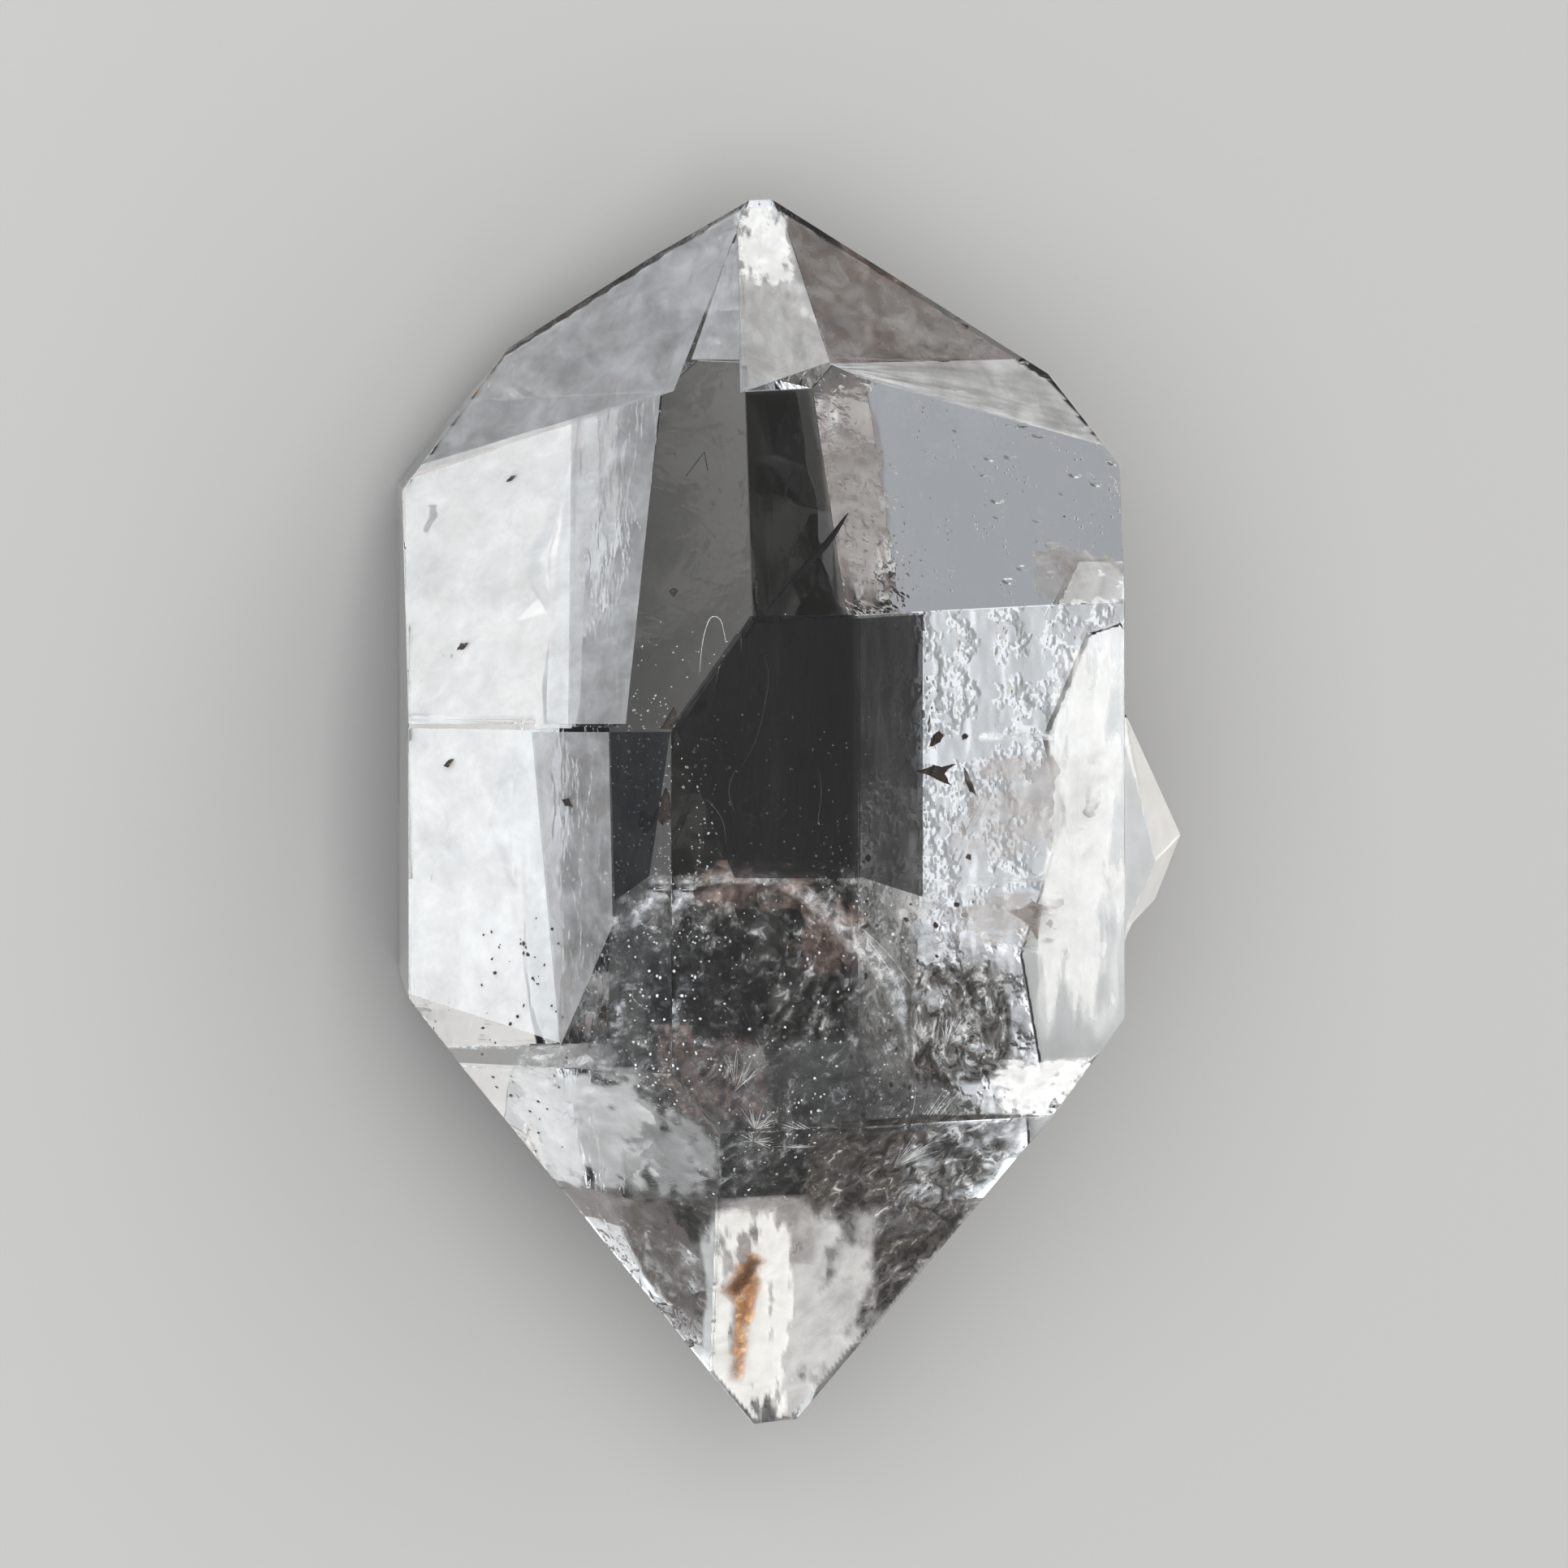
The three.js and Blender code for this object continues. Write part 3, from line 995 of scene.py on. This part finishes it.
# Painted shade: near-black sheets that darken the middle of the crystal.
PAINTED_SHADE_SHEETS = {
    "middle_right": dict(
        corners=((1058, 762), (1137, 757), (1137, 1105), (1058, 1080)), depth=0.3, steps=16, even=True),
    "middle": dict(corners=((930, 759), (1060, 757), (1060, 1082), (834, 900)), depth=0.35, even=True),
    "middle_low_left": dict(
        corners=((834, 900), (1060, 1082), (905, 1082), (866, 985)), depth=0.35, even=True),
    "left_of_the_middle": dict(
        corners=((752, 902), (826, 902), (800, 1080), (757, 1110)), depth=0.3, steps=16, even=True),
    "in_the_dome": dict(
        corners=((826, 1150), (970, 1160), (945, 1300), (826, 1295)), depth=2.2, ripple=0.1, soft=0.8),
}
FEATHER_SHEETS = {
    "right_of_the_dome": dict(
        corners=((1110, 1195), (1245, 1180), (1250, 1330), (1120, 1350)), depth=0.8, bulge=0.8, ripple=0.3),
    "narrow_end_right": dict(
        corners=((990, 1385), (1270, 1375), (1180, 1545), (990, 1570)), depth=0.6, bulge=0.6, ripple=0.3),
    "narrow_end_left": dict(
        corners=((750, 1480), (885, 1470), (885, 1650), (800, 1590)), depth=0.5, bulge=0.4, ripple=0.2),
    "by_the_narrow_tip": dict(
        corners=((1000, 1535), (1200, 1500), (1105, 1645), (1040, 1655)), depth=0.5, bulge=0.2, ripple=0.2),
}


def add_haze_and_painted_shading(bm, shade, corners, tone, soft=None, depth=0.25):
    """A thin even sheet under a face, or with soft a ragged one, toned with haze and painted light and shade.
    shade is the layer that takes the tone.
    """
    before = len(bm.verts)
    add_sheet(bm, corners, depth, ripple=0.05, steps=56, even=soft is None, soft=soft)
    bm.verts.ensure_lookup_table()
    for vertex in bm.verts[before:]:
        vertex[shade] = tone


def make_haze_and_painted_shading():
    """Smooth zones close under the faces: milky haze, and painted light and shade of the faces above them."""
    nodes = Nodes("haze_with_painted_light_and_shade")
    clouds = nodes.noise(nodes.place(), 0.9, 4.0, 0.55, 0.5)
    mottle = nodes.noise(nodes.place((1, 0.7, 1)), 1.4, 5.0, 0.62, 0.6)
    uneven = nodes.math("MULTIPLY", nodes.math("SUBTRACT", mottle, 0.5), 0.7)
    brown, grey, white = (0.17, 0.145, 0.132), (0.55, 0.545, 0.54), (0.97, 0.96, 0.93)
    # The tone attribute carries each zone's painted light and shade.
    shade = nodes.math("ADD", nodes.attribute("tone"), uneven)
    colour = nodes.ramp(shade, [(0.0, brown), (0.5, grey), (1.0, white)])
    cover = nodes.math("MULTIPLY", nodes.attribute("fade"), nodes.ramp(clouds, [(0.35, 0.5), (0.65, 0.72)]))
    nodes.set(Base_Color=colour, Roughness=1.0, Specular_IOR_Level=0.0, Alpha=cover)
    bm = bmesh.new()
    fade_layer(bm)
    tone_layer = bm.verts.layers.float.new("tone")
    for zone in HAZE_AND_PAINTED_SHADING_ZONES.values():
        add_haze_and_painted_shading(bm, tone_layer, **zone)
    return inner_piece("haze_with_painted_light_and_shade", bm, nodes.material)


def make_painted_shade_film():
    """Painted shade: near-black sheets close under the faces, and a ragged one deeper in the dome."""
    nodes = Nodes("painted_shade_film")
    streaks = nodes.noise(nodes.place((1, 0.3, 1)), 1.6, 4.0)
    cover = nodes.ramp(streaks, [(0.35, 0.88), (0.7, 0.72)])
    alpha = nodes.math("MULTIPLY", nodes.attribute("fade"), cover)
    nodes.set(Base_Color=(0.006, 0.006, 0.007, 1), Roughness=1.0, Specular_IOR_Level=0.0, Alpha=alpha)
    bm = bmesh.new()
    add_each(add_sheet, bm, PAINTED_SHADE_SHEETS)
    return inner_piece("painted_shade_film", bm, nodes.material)


def make_dark_feathers():
    """Dark feathery fractures in the narrower end and on its right."""
    nodes = Nodes("dark_feather")
    grain = nodes.noise(nodes.place((1.4, 0.8, 1.4)), 1.7, 7.0, 0.7, 0.9)
    cover = nodes.ramp(grain, [(0.42, 0.97), (0.52, 0.85), (0.60, 0.45), (0.68, 0.75)])
    black, brown, pale_grey = (0.012, 0.011, 0.010), (0.08, 0.07, 0.06), (0.6, 0.59, 0.56)
    colour = nodes.ramp(grain, [(0.42, black), (0.57, brown), (0.68, pale_grey)])
    alpha = nodes.math("MULTIPLY", nodes.attribute("fade"), cover)
    nodes.set(Base_Color=colour, Roughness=1.0, Specular_IOR_Level=0.0, Alpha=alpha)
    bm = bmesh.new()
    add_each(add_sheet, bm, FEATHER_SHEETS)
    return inner_piece("dark_feathers", bm, nodes.material)


# Cracks, and the painted shade of an etch pit and a chip

NEEDLES = {
    "wide": dict(
        points=[(1045, 632, 0.15), (1022, 666, 0.15), (1000, 690, 0.2), (980, 716, 0.3)],
        thickness=5.0, ends=0.1),
    "thin": dict(points=[(1010, 672, 0.7), (975, 715, 1.0), (945, 752, 1.2)], thickness=1.2, ends=0.1),
}
# Painted shade: a dark outline for a triangular etch pit on a face, and a dark flake for a chip by the
# broader tip.
ETCH_PIT_PAINTED_SHADE = [(845, 587, 0.1), (857, 571, 0.1), (868, 557, 0.1), (872, 580, 0.1)]
TIP_CHIP_PAINTED_SHADE = dict(
    outline=[(870, 291), (880, 272), (893, 264), (907, 276), (912, 291), (893, 295)],
    depth=0.3, thickness=0.08)


def make_fissures_and_painted_shade():
    """A dark needle-shaped crack, and painted shade: a dark outline for a triangular etch pit and a dark
    flake for a chip by the broader tip.
    """
    nodes = Nodes("fissure_black_and_painted_shade")
    nodes.set(Base_Color=(0.006, 0.006, 0.006, 1), Roughness=0.8, Specular_IOR_Level=0.0)
    bm = bmesh.new()
    add_each(add_strand, bm, NEEDLES)
    for start, end in zip(ETCH_PIT_PAINTED_SHADE, ETCH_PIT_PAINTED_SHADE[1:]):
        add_strand(bm, [start, end], 0.6, 0.9)
    add_flake(bm, **TIP_CHIP_PAINTED_SHADE)
    return inner_piece("fissures_and_painted_shade", bm, nodes.material, smooth=False)


# The small crystals

CORE_FROM_FACE = 0.03 * MM
CORE_SHRINK = 0.03 * MM
CORE_VOXEL = 0.07 * MM


def make_milky_core():
    """The milky quartz of the small crystals, a little inside their faces."""
    nodes = Nodes("milky_quartz")
    clouds = nodes.noise(nodes.place(), 0.9, 3.0)
    colour = nodes.ramp(clouds, [(0.35, (0.86, 0.85, 0.82)), (0.65, (0.97, 0.96, 0.94))])
    nodes.set(Base_Color=colour, Roughness=0.6)
    outward = face_normals()["prism_lower_right"]
    cut = MIDDLE + outward * (LOWER_RIGHT_DISTANCE + CORE_FROM_FACE)
    bm = crystal_mesh()
    geometry = bm.verts[:] + bm.edges[:] + bm.faces[:]
    bmesh.ops.bisect_plane(bm, geom=geometry, plane_co=cut, plane_no=outward, clear_inner=True, dist=1e-7)
    bmesh.ops.holes_fill(bm, edges=[e for e in bm.edges if e.is_boundary])
    bmesh.ops.recalc_face_normals(bm, faces=bm.faces)
    piece = inner_piece("milky_core", bm, nodes.material)
    remesh = piece.modifiers.new("remesh", "REMESH")
    remesh.mode = "VOXEL"
    remesh.voxel_size = CORE_VOXEL
    shrink = piece.modifiers.new("shrink", "DISPLACE")
    shrink.strength = -CORE_SHRINK
    shrink.mid_level = 0.0
    return piece


make_camera()
make_floor()
make_panels()
make_world()
crystal_piece()
make_inner_lights([
    make_flecks(),
    make_dome(),
    make_clouds(),
    make_tints(),
    make_wisps(),
    make_specks(),
    make_rust(),
    make_rust_core(),
    make_haze_and_painted_shading(),
    make_painted_shade_film(),
    make_dark_feathers(),
    make_fissures_and_painted_shade(),
    make_milky_core(),
])

LIGHT_BOUNCES = 24
scene = bpy.context.scene
scene.view_settings.view_transform = "Standard"
scene.cycles.caustics_refractive = False
scene.cycles.caustics_reflective = False
scene.cycles.max_bounces = LIGHT_BOUNCES
scene.cycles.transmission_bounces = LIGHT_BOUNCES
scene.cycles.transparent_max_bounces = LIGHT_BOUNCES
